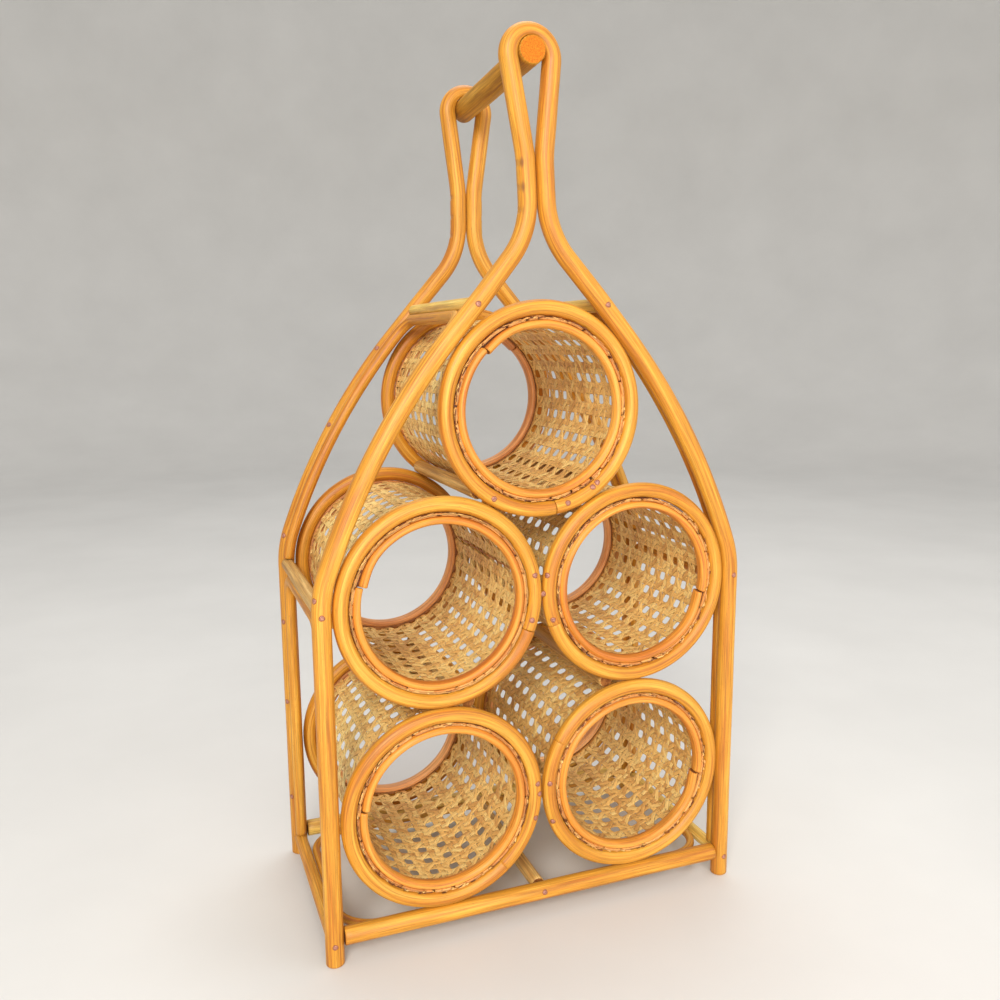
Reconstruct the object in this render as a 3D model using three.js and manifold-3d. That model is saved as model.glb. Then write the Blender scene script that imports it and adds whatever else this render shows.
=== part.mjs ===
// Bent-cane wine bottle rack: five woven tubes stacked in a pyramid between two bent-cane frames,
// tied front to back by spacers and braces and carried by a dowel. Millimetres, +Z up, with the
// origin on the floor under the middle; the tubes' mouths face -Y.
import * as THREE from 'three';
import { mergeVertices } from 'three/addons/utils/BufferGeometryUtils.js';
import Module from 'manifold-3d';

const wasm = await Module();
wasm.setup();

// Driving dimensions
const seatGap = 0.3;
const frameSpacing = 128;
const footHeight = 10.6;
const frameCane = 10.7;
const dowelDiameter = 14.6;

// Tubes: each is webbing held between an outer and an inner ring at either mouth
const ringOuterRadius = 60.8;
const outerRingCane = 8.9;
const innerRingCane = 5;
const innerRingForward = 1;
const webbingThickness = 0.9;
const webbingOverrun = 2.5;

// The webbing's weave is finer than its solid, which has a plain grid of openings instead
const openingColumns = 12;
const openingRows = 4;
const openingDepth = 10;

// Frame outline above the middle tubes: bends and runs of one cane
const shoulderAngle = 19.5;
const rafterAngle = 40.6;
const neckBend = 48;
const pinchLength = 18;
const flareBend = 60;
const loopBend = 12.3;
const loopRise = 53.3;
const frontLean = -6.6;
const backLean = 1.2;
const dowelRise = 2.6;

// Kerfs cut into the outside of the neck so that the cane bends there
const kerfRadius = 3.2;
const kerfDepth = 0.9;
const kerfSpacing = 12.4;
const kerfCount = 3;

// Canes of the base
const railCane = 10.6;
const sideRailCane = 8;
const sideRailHeight = 13.4;
const crossRailCane = 8.8;
const crossRailHeight = 16.6;
const hoopCane = 5.2;
const hoopHeight = 13.6;
const hoopCornerBend = 22;

// Canes that tie the front frame to the back frame
const upperSpacerCane = 8.3;
const upperSpacerHeight = 367.6;
const midSpacerCane = 8.2;
const midSpacerHeight = 206;
const braceCane = 7;
const braceCornerBend = 12;

// Battens between the rings, in the valleys beside the tubes' contacts
const battenCane = 8.6;
const upperBattenOffset = 9.3;
const upperBattenLift = 3.7;
const lowerBattenOffset = 16.5;

// Where the two ends of each ring's cane meet, in degrees round its tube
const outerJoints = { top: -80, middle_left: -20, middle_right: 200, bottom_left: -50, bottom_right: 150 };
const innerJoints = { top: 130, middle_left: 160, middle_right: -10, bottom_left: 170, bottom_right: -10 };
const backJointTurn = 60;

// Facets
const frameSides = 8;
const outerRingSides = 7;
const innerRingSides = 6;
const braceSides = 6;
const straightSides = 12;
const dowelSides = 20;
const kerfSides = 10;
const ringSteps = 36;
const innerRingSteps = 30;
const bisectionPasses = 40;
const bendSteps = { shoulder: 3, arch: 4, neck: 4, flare: 2, loop: 10, corner: 4 };
const bracePitch = 24;

const UP = new THREE.Vector3(0, 0, 1);
const DEPTH = new THREE.Vector3(0, 1, 0);
const radians = THREE.MathUtils.degToRad;

// Seats worked out from the driving dimensions
const halfSpacing = frameSpacing / 2;
const frameRadius = frameCane / 2;
const railHeight = footHeight + railCane / 2;
const tubeOffset = ringOuterRadius + seatGap / 2;
const tubePitch = 2 * ringOuterRadius + seatGap;
const frameClearRadius = ringOuterRadius + seatGap + frameRadius;
const poleOffset = tubeOffset + frameClearRadius;
const bottomHeight = railHeight + railCane / 2 + seatGap + ringOuterRadius;
const middleHeight = bottomHeight + tubePitch;
const topHeight = middleHeight + Math.sqrt(tubePitch ** 2 - tubeOffset ** 2);
const innerSpan = frameSpacing - frameCane - 2 * seatGap;

// The webbing has a flat for each strip and each opening. They lie inside its round, so the inner
// ring is fitted to them.
const webbingFlats = 2 * openingColumns;
const flatShare = Math.cos(Math.PI / webbingFlats);
const outerRingPath = ringOuterRadius - outerRingCane / 2;
const webbingOuter = ringOuterRadius - outerRingCane - seatGap;
const webbingInner = webbingOuter - webbingThickness;
const webbingReach = halfSpacing + webbingOverrun;
const innerRingPath = webbingInner * flatShare - seatGap - innerRingCane / 2;

const tubes = {
  top: { x: 0, z: topHeight },
  middle_left: { x: -tubeOffset, z: middleHeight },
  middle_right: { x: tubeOffset, z: middleHeight },
  bottom_left: { x: -tubeOffset, z: bottomHeight },
  bottom_right: { x: tubeOffset, z: bottomHeight },
};

// Finishes
const finish = (color, roughness) => new THREE.MeshStandardMaterial({ color, roughness, metalness: 0 });
const honeyCane = () => finish(0xf0a848, 0.42);
const redCane = () => finish(0xe8963c, 0.45);
const paleCane = () => finish(0xd8b070, 0.55);
const dowelWood = () => finish(0xb8843c, 0.5);
const webbingCane = () => finish(0xc8a468, 0.75);

// A cane's centre line in the plane of a frame, walked as runs and bends. The heading is measured
// from straight up and grows as the cane turns towards the middle.
class CaneWalk {
  constructor(x, z) {
    this.legs = [];
    this.length = 0;
    this.end = { x, z, heading: 0 };
  }

  add(length, steps, locate) {
    this.legs.push({ from: this.length, length, steps, locate });
    this.length += length;
    this.end = locate(length);
    return this;
  }

  run(length) {
    const { x, z, heading } = this.end;
    return this.add(length, 1, (s) => (
      { x: x - s * Math.sin(heading), z: z + s * Math.cos(heading), heading }));
  }

  bend(radius, angle, steps) {
    const { x, z, heading } = this.end;
    const side = Math.sign(angle);
    return this.add(radius * Math.abs(angle), steps, (s) => {
      const turned = heading + side * s / radius;
      return {
        x: x - side * radius * (Math.cos(heading) - Math.cos(turned)),
        z: z + side * radius * (Math.sin(turned) - Math.sin(heading)),
        heading: turned,
      };
    });
  }

  at(distance) {
    const leg = this.legs.findLast((each) => each.from <= distance) ?? this.legs[0];
    return leg.locate(distance - leg.from);
  }

  // Distances that a sweep needs: both ends of each run, and the steps of each bend
  marks() {
    const inner = this.legs.flatMap((leg) => Array.from({ length: leg.steps },
      (_, step) => leg.from + leg.length * step / leg.steps));
    return [...inner, this.length];
  }

  distanceAtHeight(z) {
    let low = 0;
    let high = this.length;
    for (let pass = 0; pass < bisectionPasses; pass += 1) {
      const middle = (low + high) / 2;
      if (this.at(middle).z < z) low = middle;
      else high = middle;
    }
    return low;
  }
}

// A curve through chosen stations, so that straight runs take one step and bends take several
class StationPath extends THREE.Curve {
  constructor(stations) {
    super();
    this.stations = stations;
  }

  getPoint(t, target = new THREE.Vector3()) {
    const last = this.stations.length - 1;
    const index = Math.min(Math.floor(t * last), last - 1);
    return target.lerpVectors(this.stations[index].point, this.stations[index + 1].point, t * last - index);
  }

  getPointAt(u, target) {
    return this.getPoint(u, target);
  }

  getTangentAt(u, target = new THREE.Vector3()) {
    const nearest = Math.round(u * (this.stations.length - 1));
    return target.copy(this.stations[nearest].tangent).normalize();
  }
}

function sweepCane(stations, diameter, sides) {
  const section = new THREE.Shape(Array.from({ length: sides }, (_, corner) => {
    const angle = 2 * Math.PI * corner / sides;
    return new THREE.Vector2(Math.cos(angle), Math.sin(angle)).multiplyScalar(diameter / 2);
  }));
  const extrudePath = new StationPath(stations);
  return new THREE.ExtrudeGeometry(section, { steps: stations.length - 1, extrudePath });
}

function solidOf(geometry) {
  const plain = geometry.clone();
  plain.deleteAttribute('normal');
  plain.deleteAttribute('uv');
  const merged = mergeVertices(plain);
  return new wasm.Manifold(new wasm.Mesh({
    numProp: 3,
    vertProperties: new Float32Array(merged.attributes.position.array),
    triVerts: new Uint32Array(merged.index.array),
  }));
}

function geometryOf(solid) {
  const mesh = solid.getMesh();
  const geometry = new THREE.BufferGeometry();
  geometry.setAttribute('position', new THREE.BufferAttribute(mesh.vertProperties, 3));
  geometry.setIndex(new THREE.BufferAttribute(mesh.triVerts, 1));
  geometry.computeVertexNormals();
  return geometry;
}

function cutAway(geometry, cutters) {
  const whole = solidOf(geometry);
  return geometryOf(cutters.reduce((solid, cutter) => solid.subtract(solidOf(cutter)), whole));
}

const model = new THREE.Group();

function addPiece(name, geometry, material, [x, y, z] = [0, 0, 0]) {
  const mesh = new THREE.Mesh(geometry, material);
  mesh.name = name;
  mesh.position.set(x, y, z);
  model.add(mesh);
  return mesh;
}

// Right-hand half of the frame, from the foot to the middle of the loop. The shoulder wraps the
// middle tube's ring, and the rafter rests against the top tube's ring.
function walkFrame() {
  const shoulder = radians(shoulderAngle);
  const rafter = radians(rafterAngle);
  const walk = new CaneWalk(poleOffset, 0).run(middleHeight);
  walk.bend(frameClearRadius, shoulder, bendSteps.shoulder);
  const reach = walk.end.x * Math.cos(rafter) + (walk.end.z - topHeight) * Math.sin(rafter);
  const archBend = (frameClearRadius - reach) / (1 - Math.cos(rafter - shoulder));
  walk.bend(archBend, rafter - shoulder, bendSteps.arch);

  const neckOffset = frameRadius + seatGap / 2;
  const neckInset = neckBend * (1 - Math.cos(rafter));
  walk.run((walk.end.x - neckOffset - neckInset) / Math.sin(rafter));
  walk.bend(neckBend, -rafter, bendSteps.neck);
  walk.run(pinchLength);
  const neckEnd = walk.length;

  const centres = Math.hypot(neckOffset + flareBend, loopRise);
  const flare = Math.asin((flareBend + loopBend) / centres) - Math.atan2(neckOffset + flareBend, loopRise);
  const loopHeight = walk.end.z + loopRise;
  walk.bend(flareBend, -flare, bendSteps.flare);
  walk.run(Math.sqrt(centres ** 2 - (flareBend + loopBend) ** 2));
  walk.bend(loopBend, flare + Math.PI / 2, bendSteps.loop);
  return { walk, neckEnd, loopHeight };
}

const { walk: frameWalk, neckEnd, loopHeight } = walkFrame();
const leanFrom = topHeight + ringOuterRadius;
const dowelHeight = loopHeight + dowelRise;
const leanShare = (z) => Math.max(0, z - leanFrom) / (dowelHeight - leanFrom);

// A station of the frame, on the right (side 1) or left (side -1), shifted by the frame's lean
function frameStation(distance, side, lean) {
  const { x, z, heading } = frameWalk.at(distance);
  const slope = z > leanFrom ? lean / (dowelHeight - leanFrom) : 0;
  const rise = Math.cos(heading) * side;
  return {
    point: new THREE.Vector3(side * x + lean * leanShare(z), 0, z),
    tangent: new THREE.Vector3(slope * rise - Math.sin(heading), 0, rise),
  };
}

// The dowel runs between the middles of the two leaning loops
const dowelFront = new THREE.Vector3(frontLean, -halfSpacing, dowelHeight);
const dowelBack = new THREE.Vector3(backLean, halfSpacing, dowelHeight);
const dowelAxis = dowelBack.clone().sub(dowelFront).normalize();
const dowelTurn = new THREE.Quaternion().setFromUnitVectors(DEPTH, dowelAxis);
const dowelLength = (frameSpacing + frameCane) / dowelAxis.y;

function dowelSeat(frameY) {
  const seat = new THREE.CylinderGeometry(
    dowelDiameter / 2 + seatGap, dowelDiameter / 2 + seatGap, dowelLength, dowelSides);
  const middle = dowelFront.clone().add(dowelBack).divideScalar(2);
  return seat.applyQuaternion(dowelTurn).translate(middle.x, -frameY, middle.z);
}

function kerf(index, side, lean) {
  const { point, tangent } = frameStation(neckEnd - index * kerfSpacing, side, lean);
  const outward = new THREE.Vector3(tangent.z, 0, -tangent.x).normalize();
  const centre = point.addScaledVector(outward, frameRadius + kerfRadius - kerfDepth);
  return new THREE.CylinderGeometry(kerfRadius, kerfRadius, 2 * frameCane, kerfSides)
    .translate(centre.x, centre.y, centre.z);
}

function frameGeometry(frameY, lean) {
  const marks = frameWalk.marks();
  const right = marks.map((distance) => frameStation(distance, 1, lean));
  const left = marks.slice(0, -1).reverse().map((distance) => frameStation(distance, -1, lean));
  const cane = sweepCane([...right, ...left], frameCane, frameSides);
  const kerfs = Array.from({ length: kerfCount }, (_, index) => [
    kerf(index, 1, lean), kerf(index, -1, lean)]).flat();
  return cutAway(cane, [dowelSeat(frameY), ...kerfs]);
}

addPiece('front_frame', frameGeometry(-halfSpacing, frontLean), honeyCane(), [0, -halfSpacing, 0]);
addPiece('back_frame', frameGeometry(halfSpacing, backLean), honeyCane(), [0, halfSpacing, 0]);

const dowel = addPiece('handle_dowel',
  new THREE.CylinderGeometry(dowelDiameter / 2, dowelDiameter / 2, dowelLength, dowelSides),
  dowelWood(), dowelFront.clone().add(dowelBack).divideScalar(2).toArray());
dowel.quaternion.copy(dowelTurn);

// A straight cane, square cut at both ends, along the depth unless it is turned
function straightCane(diameter, length) {
  return new THREE.CylinderGeometry(diameter / 2, diameter / 2, length, straightSides);
}

// Base: two rails between the poles, two side rails, a cross rail, and a hoop of thin cane inside
const railLength = 2 * (poleOffset - frameRadius - seatGap);
for (const [name, side] of [['front', -1], ['back', 1]]) {
  const rail = addPiece(`${name}_bottom_rail`, straightCane(railCane, railLength), honeyCane(),
    [0, side * halfSpacing, railHeight]);
  rail.rotation.z = Math.PI / 2;
}
for (const [name, side] of [['left', -1], ['right', 1]]) {
  addPiece(`${name}_bottom_rail`, straightCane(sideRailCane, innerSpan), honeyCane(),
    [side * poleOffset, 0, sideRailHeight]);
}

const hoopX = poleOffset - sideRailCane / 2 - seatGap - hoopCane / 2;
const hoopY = halfSpacing - railCane / 2 - seatGap - hoopCane / 2;

// A ring of cane round the inside of the base, its two ends meeting behind the back rail's middle
function hoopStations() {
  const corners = [[1, 1], [-1, 1], [-1, -1], [1, -1]];
  const turns = corners.flatMap(([sideX, sideY], corner) => Array.from(
    { length: bendSteps.corner + 1 }, (_, step) => {
      const angle = Math.PI / 2 * (corner + step / bendSteps.corner);
      const outward = new THREE.Vector3(Math.cos(angle), Math.sin(angle), 0);
      const centre = new THREE.Vector3(
        sideX * (hoopX - hoopCornerBend), sideY * (hoopY - hoopCornerBend), hoopHeight);
      return {
        point: centre.addScaledVector(outward, hoopCornerBend),
        tangent: UP.clone().cross(outward),
      };
    }));
  const alongBack = new THREE.Vector3(-1, 0, 0);
  const end = (x) => ({ point: new THREE.Vector3(x, hoopY, hoopHeight), tangent: alongBack });
  const jointX = poleOffset / 2;
  const firstTurn = bendSteps.corner + 1;
  return [end(jointX - seatGap), ...turns.slice(firstTurn), ...turns.slice(0, firstTurn), end(jointX)];
}
addPiece('base_hoop', sweepCane(hoopStations(), hoopCane, braceSides), honeyCane());

// The cross rail's ends are cut away underneath to pass over the hoop
const crossRailLength = frameSpacing - railCane - 2 * seatGap;
const lapDepth = hoopHeight + hoopCane / 2 + seatGap - (crossRailHeight - crossRailCane / 2);
const lapLength = halfSpacing - (hoopY - hoopCane / 2 - seatGap);
const laps = [-1, 1].map((side) => new THREE.BoxGeometry(2 * crossRailCane, 2 * lapLength, 2 * lapDepth)
  .translate(0, side * halfSpacing, -crossRailCane / 2));
addPiece('centre_cross_rail', cutAway(straightCane(crossRailCane, crossRailLength), laps),
  paleCane(), [0, 0, crossRailHeight]);

// Upper and middle spacers butt against the insides of the two frames, on the frames' centre line
function placeOnFrame(distance, side) {
  const { x, z } = frameWalk.at(distance);
  return [side * x, 0, z];
}

const upperSpacerAt = frameWalk.distanceAtHeight(upperSpacerHeight);
const midSpacerAt = frameWalk.distanceAtHeight(midSpacerHeight);
const upperBarAt = upperSpacerAt - upperSpacerCane / 2 - seatGap - braceCane / 2;
const lowerBarAt = midSpacerAt - midSpacerCane / 2 - seatGap - braceCane / 2;
const upperLegAt = midSpacerAt + midSpacerCane / 2 + seatGap;
const lowerLegAt = sideRailHeight + sideRailCane / 2 + seatGap;
const legOffset = halfSpacing - frameRadius - seatGap - braceCane / 2;

// An upside-down U of thin cane that follows the frames: its legs lie behind the front pole and
// before the back pole, and its bar lies under a spacer.
function braceStations(legAt, barAt, side) {
  const station = (distance, y, climb, cross) => {
    const { heading } = frameWalk.at(distance);
    return {
      point: new THREE.Vector3(...placeOnFrame(distance, side)).setY(y),
      tangent: new THREE.Vector3(-side * Math.sin(heading) * climb, cross, Math.cos(heading) * climb),
    };
  };
  const legTop = barAt - braceCornerBend;
  const legSteps = Math.max(1, Math.round((legTop - legAt) / bracePitch));
  const leg = Array.from({ length: legSteps }, (_, step) => (
    station(legAt + (legTop - legAt) * step / legSteps, -legOffset, 1, 0)));
  const turn = Array.from({ length: bendSteps.corner + 1 }, (_, step) => {
    const angle = Math.PI / 2 * step / bendSteps.corner;
    const inset = braceCornerBend * (1 - Math.cos(angle));
    return station(legTop + braceCornerBend * Math.sin(angle), inset - legOffset,
      Math.cos(angle), Math.sin(angle));
  });
  const front = [...leg, ...turn];
  const back = front.map(({ point, tangent }) => ({
    point: point.clone().setY(-point.y),
    tangent: tangent.clone().negate().setY(tangent.y),
  }));
  return [...front, ...back.reverse()];
}

for (const [name, side] of [['left', -1], ['right', 1]]) {
  addPiece(`${name}_upper_spacer`, straightCane(upperSpacerCane, innerSpan), paleCane(),
    placeOnFrame(upperSpacerAt, side));
  addPiece(`${name}_mid_spacer`, straightCane(midSpacerCane, innerSpan), honeyCane(),
    placeOnFrame(midSpacerAt, side));
  addPiece(`${name}_upper_brace`,
    sweepCane(braceStations(upperLegAt, upperBarAt, side), braceCane, braceSides), honeyCane());
  addPiece(`${name}_lower_brace`,
    sweepCane(braceStations(lowerLegAt, lowerBarAt, side), braceCane, braceSides), honeyCane());
}

// Battens butt against the outer rings of one tube, in the valley beside its contact with another
function addBatten(name, [carrier, neighbour], offset, lift) {
  const axis = new THREE.Vector3(carrier.x, 0, carrier.z);
  const from = new THREE.Vector3(neighbour.x, 0, neighbour.z);
  const towards = axis.clone().sub(from).normalize();
  const across = new THREE.Vector3(towards.z, 0, -towards.x);
  const place = from.addScaledVector(towards, tubePitch / 2 + lift).addScaledVector(across, offset);
  const pastRing = Math.max(0, place.distanceTo(axis) - battenCane / 2 - outerRingPath);
  const ringDepth = Math.sqrt(Math.max(0, (outerRingCane / 2) ** 2 - pastRing ** 2));
  addPiece(name, straightCane(battenCane, frameSpacing - 2 * (ringDepth + seatGap)), paleCane(),
    place.toArray());
}
addBatten('upper_left_batten', [tubes.top, tubes.middle_left], -upperBattenOffset, upperBattenLift);
addBatten('upper_right_batten', [tubes.top, tubes.middle_right], upperBattenOffset, upperBattenLift);
addBatten('lower_left_batten', [tubes.middle_left, tubes.bottom_left], lowerBattenOffset, 0);
addBatten('lower_right_batten', [tubes.middle_right, tubes.bottom_right], -lowerBattenOffset, 0);

// Each ring is one cane bent round until its square-cut ends meet
function ringStations(radius, jointAngle, steps) {
  const half = seatGap / 2 / radius;
  const joint = radians(jointAngle);
  const between = Array.from({ length: steps - 1 }, (_, step) => (
    joint + 2 * Math.PI * (step + 1) / steps));
  return [joint + half, ...between, joint + 2 * Math.PI - half].map((angle) => ({
    point: new THREE.Vector3(Math.cos(angle), 0, Math.sin(angle)).multiplyScalar(radius),
    tangent: new THREE.Vector3(-Math.sin(angle), 0, Math.cos(angle)),
  }));
}

// Depths of the webbing's mouths and of both edges of each row of openings, which are spread over
// the stretch between the outer rings
function webbingDepths() {
  const openReach = halfSpacing - outerRingCane / 2;
  const rowPitch = 2 * openReach / openingRows;
  const edges = Array.from({ length: openingRows }, (_, row) => {
    const middle = (row + 1 / 2) * rowPitch - openReach;
    return [middle - openingDepth / 2, middle + openingDepth / 2];
  });
  return [-webbingReach, ...edges.flat(), webbingReach];
}

// The webbing is a sheet rolled into an open tube. Strips and openings take turns round it, and
// hoops and openings take turns along it.
function webbingGeometry() {
  const depths = webbingDepths();
  const bands = depths.length - 1;
  const isOpen = (flat, band) => band < 0 || band >= bands || (flat % 2 !== 0 && band % 2 !== 0);
  const corner = (flat, edge, radius) => {
    const angle = 2 * Math.PI * (flat % webbingFlats) / webbingFlats;
    return [radius * Math.cos(angle), depths[edge], radius * Math.sin(angle)];
  };
  const corners = (flat, band, radius) => [
    [flat, band], [flat + 1, band], [flat + 1, band + 1], [flat, band + 1],
  ].map(([line, edge]) => corner(line, edge, radius));

  const positions = [];
  const addFace = (a, b, c, d) => positions.push(...a, ...b, ...c, ...a, ...c, ...d);
  for (let flat = 0; flat < webbingFlats; flat += 1) {
    for (let band = 0; band < bands; band += 1) {
      if (isOpen(flat, band)) continue;
      const [a, b, c, d] = corners(flat, band, webbingOuter);
      const [e, f, g, h] = corners(flat, band, webbingInner);
      addFace(a, d, c, b);
      addFace(e, f, g, h);
      if (isOpen(flat - 1, band)) addFace(a, e, h, d);
      if (isOpen(flat + 1, band)) addFace(b, c, g, f);
      if (isOpen(flat, band - 1)) addFace(a, b, f, e);
      if (isOpen(flat, band + 1)) addFace(d, h, g, c);
    }
  }
  const geometry = new THREE.BufferGeometry();
  geometry.setAttribute('position', new THREE.Float32BufferAttribute(positions, 3));
  geometry.computeVertexNormals();
  return geometry;
}

for (const [tube, { x, z }] of Object.entries(tubes)) {
  addPiece(`${tube}_webbing`, webbingGeometry(), webbingCane(), [x, 0, z]);
  for (const [end, side, turn] of [['front', -1, 0], ['back', 1, backJointTurn]]) {
    const outer = sweepCane(
      ringStations(outerRingPath, outerJoints[tube] + turn, ringSteps), outerRingCane, outerRingSides);
    const inner = sweepCane(ringStations(innerRingPath, innerJoints[tube] + turn, innerRingSteps),
      innerRingCane, innerRingSides);
    addPiece(`${tube}_${end}_outer_ring`, outer, honeyCane(), [x, side * halfSpacing, z]);
    addPiece(`${tube}_${end}_inner_ring`, inner, redCane(),
      [x, side * (halfSpacing + innerRingForward), z]);
  }
}

export default model;
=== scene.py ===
"""Looks for the bent-cane wine bottle rack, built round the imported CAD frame.

Lengths are in millimetres until a mesh is made, and the canes follow the same centre lines as
the CAD source.
"""
import math
from functools import partial

import bpy
import numpy as np
from mathutils import Matrix, Vector


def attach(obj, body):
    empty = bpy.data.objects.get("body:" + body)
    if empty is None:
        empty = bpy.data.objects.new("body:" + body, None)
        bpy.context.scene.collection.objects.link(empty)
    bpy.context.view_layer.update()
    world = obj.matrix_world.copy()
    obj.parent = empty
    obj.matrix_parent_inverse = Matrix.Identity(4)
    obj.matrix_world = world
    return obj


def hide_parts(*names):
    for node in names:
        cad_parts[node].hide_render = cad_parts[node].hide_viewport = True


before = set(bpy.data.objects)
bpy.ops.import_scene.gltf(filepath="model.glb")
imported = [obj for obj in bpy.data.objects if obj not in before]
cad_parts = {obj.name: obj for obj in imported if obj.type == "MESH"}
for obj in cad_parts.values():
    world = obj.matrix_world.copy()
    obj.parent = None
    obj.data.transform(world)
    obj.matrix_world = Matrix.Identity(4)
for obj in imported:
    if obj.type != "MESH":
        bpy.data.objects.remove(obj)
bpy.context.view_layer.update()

MM = 0.001

# Sizes shared with the CAD source
SEAT_GAP = 0.3
FRAME_SPACING = 128
FOOT_HEIGHT = 10.6
FRAME_CANE = 10.7
DOWEL_DIAMETER = 14.6
RING_OUTER_RADIUS = 60.8
OUTER_RING_CANE = 8.9
INNER_RING_CANE = 5
INNER_RING_FORWARD = 1
WEBBING_THICKNESS = 0.9
WEBBING_OVERRUN = 2.5
WEBBING_FLATS = 24
SHOULDER_ANGLE = math.radians(19.5)
RAFTER_ANGLE = math.radians(40.6)
NECK_BEND = 48
PINCH_LENGTH = 18
FLARE_BEND = 60
LOOP_BEND = 12.3
LOOP_RISE = 53.3
FRONT_LEAN = -6.6
BACK_LEAN = 1.2
DOWEL_RISE = 2.6
KERF_RADIUS = 3.2
KERF_DEPTH = 0.9
KERF_SPACING = 12.4
KERF_COUNT = 3
RAIL_CANE = 10.6
SIDE_RAIL_CANE = 8
SIDE_RAIL_HEIGHT = 13.4
CROSS_RAIL_CANE = 8.8
CROSS_RAIL_HEIGHT = 16.6
HOOP_CANE = 5.2
HOOP_HEIGHT = 13.6
HOOP_CORNER_BEND = 22
UPPER_SPACER_CANE = 8.3
UPPER_SPACER_HEIGHT = 367.6
MID_SPACER_CANE = 8.2
MID_SPACER_HEIGHT = 206
BRACE_CANE = 7
BRACE_CORNER_BEND = 12
BATTEN_CANE = 8.6
UPPER_BATTEN_OFFSET = 9.3
UPPER_BATTEN_LIFT = 3.7
LOWER_BATTEN_OFFSET = 16.5

HALF = FRAME_SPACING / 2
FRAME_RADIUS = FRAME_CANE / 2
RAIL_HEIGHT = FOOT_HEIGHT + RAIL_CANE / 2
TUBE_OFFSET = RING_OUTER_RADIUS + SEAT_GAP / 2
TUBE_PITCH = 2 * RING_OUTER_RADIUS + SEAT_GAP
CLEAR_RADIUS = RING_OUTER_RADIUS + SEAT_GAP + FRAME_RADIUS
POLE_OFFSET = TUBE_OFFSET + CLEAR_RADIUS
BOTTOM_HEIGHT = RAIL_HEIGHT + RAIL_CANE / 2 + SEAT_GAP + RING_OUTER_RADIUS
MIDDLE_HEIGHT = BOTTOM_HEIGHT + TUBE_PITCH
TOP_HEIGHT = MIDDLE_HEIGHT + math.sqrt(TUBE_PITCH ** 2 - TUBE_OFFSET ** 2)
INNER_SPAN = FRAME_SPACING - FRAME_CANE - 2 * SEAT_GAP
OUTER_RING_PATH = RING_OUTER_RADIUS - OUTER_RING_CANE / 2
WEBBING_OUTER = RING_OUTER_RADIUS - OUTER_RING_CANE - SEAT_GAP
WEBBING_MIDDLE = WEBBING_OUTER - WEBBING_THICKNESS / 2
WEBBING_INNER_FLAT = (WEBBING_OUTER - WEBBING_THICKNESS) * math.cos(math.pi / WEBBING_FLATS)
INNER_RING_PATH = WEBBING_INNER_FLAT - SEAT_GAP - INNER_RING_CANE / 2
TUBES = {
    "top": (0, TOP_HEIGHT),
    "middle_left": (-TUBE_OFFSET, MIDDLE_HEIGHT),
    "middle_right": (TUBE_OFFSET, MIDDLE_HEIGHT),
    "bottom_left": (-TUBE_OFFSET, BOTTOM_HEIGHT),
    "bottom_right": (TUBE_OFFSET, BOTTOM_HEIGHT),
}
DEPTH = np.array([0.0, 1.0, 0.0])
UP = np.array([0.0, 0.0, 1.0])
FULL_TURN = 2 * math.pi


# Materials

def linear(*display):
    """A display colour, 0 to 255 a channel, as the linear colour that Blender takes."""
    curve = (((c / 255 + 0.055) / 1.055) ** 2.4 if c > 10 else c / 3295 for c in display)
    return (*curve, 1.0)


def darker(colour, share):
    return tuple(c * share for c in colour[:3]) + (1.0,)


class Shader:
    """A node material put together a node at a time."""

    def __init__(self, name):
        self.material = bpy.data.materials.new(name)
        self.material.use_nodes = True
        self.tree = self.material.node_tree
        self.surface = self.tree.nodes["Principled BSDF"]

    def add(self, kind, inputs, output=0, **settings):
        made = self.tree.nodes.new(kind)
        for key, value in settings.items():
            setattr(made, key, value)
        for key, value in inputs.items():
            self.set(made.inputs[key], value)
        return made.outputs[output]

    def set(self, socket, value):
        if isinstance(value, bpy.types.NodeSocket):
            self.tree.links.new(value, socket)
        else:
            socket.default_value = value

    def attribute(self, name, output="Vector"):
        return self.add("ShaderNodeAttribute", {}, output, attribute_name=name)

    def noise(self, scale, detail=3.0, roughness=0.55, along=1.0, vector=None):
        """Noise on the grain, whose spots are drawn out along it where along is below 1."""
        vector = vector or self.attribute("grain")
        placed = self.add("ShaderNodeMapping", {"Vector": vector, "Scale": (1, 1, along)})
        return self.add("ShaderNodeTexNoise", {"Vector": placed, "Scale": scale, "Detail": detail,
                                               "Roughness": roughness}, "Fac")

    def spread(self, value, low, high, to_low=0.0, to_high=1.0):
        sockets = {"Value": value, "From Min": low, "From Max": high, "To Min": to_low, "To Max": to_high}
        return self.add("ShaderNodeMapRange", sockets, interpolation_type="SMOOTHSTEP")

    def combine(self, first, second, operation):
        return self.add("ShaderNodeMath", {0: first, 1: second}, operation=operation)

    def ramp(self, value, stops):
        made = self.tree.nodes.new("ShaderNodeValToRGB")
        self.tree.links.new(value, made.inputs[0])
        elements = made.color_ramp.elements
        while len(elements) < len(stops):
            elements.new(0.5)
        for element, (position, colour) in zip(elements, stops):
            element.position = position
            element.color = colour
        return made.outputs[0]

    def mix(self, share, first, second, blend="MIX"):
        made = self.tree.nodes.new("ShaderNodeMix")
        made.data_type = "RGBA"
        made.blend_type = blend
        self.set(made.inputs[0], share)
        self.set(made.inputs[6], first)
        self.set(made.inputs[7], second)
        return made.outputs[2]

    def shade(self, colour, factor):
        grey = self.add("ShaderNodeCombineColor", {0: factor, 1: factor, 2: factor})
        return self.mix(1.0, colour, grey, "MULTIPLY")

    def bump(self, height, distance, strength):
        return self.add("ShaderNodeBump", {"Height": height, "Distance": distance, "Strength": strength})

    def finish(self, **sockets):
        for key, value in sockets.items():
            self.set(self.surface.inputs[key.replace("_", " ")], value)
        return self.material


SCORCHED = linear(118, 74, 38)
FLECKED = linear(120, 78, 36)


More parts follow.
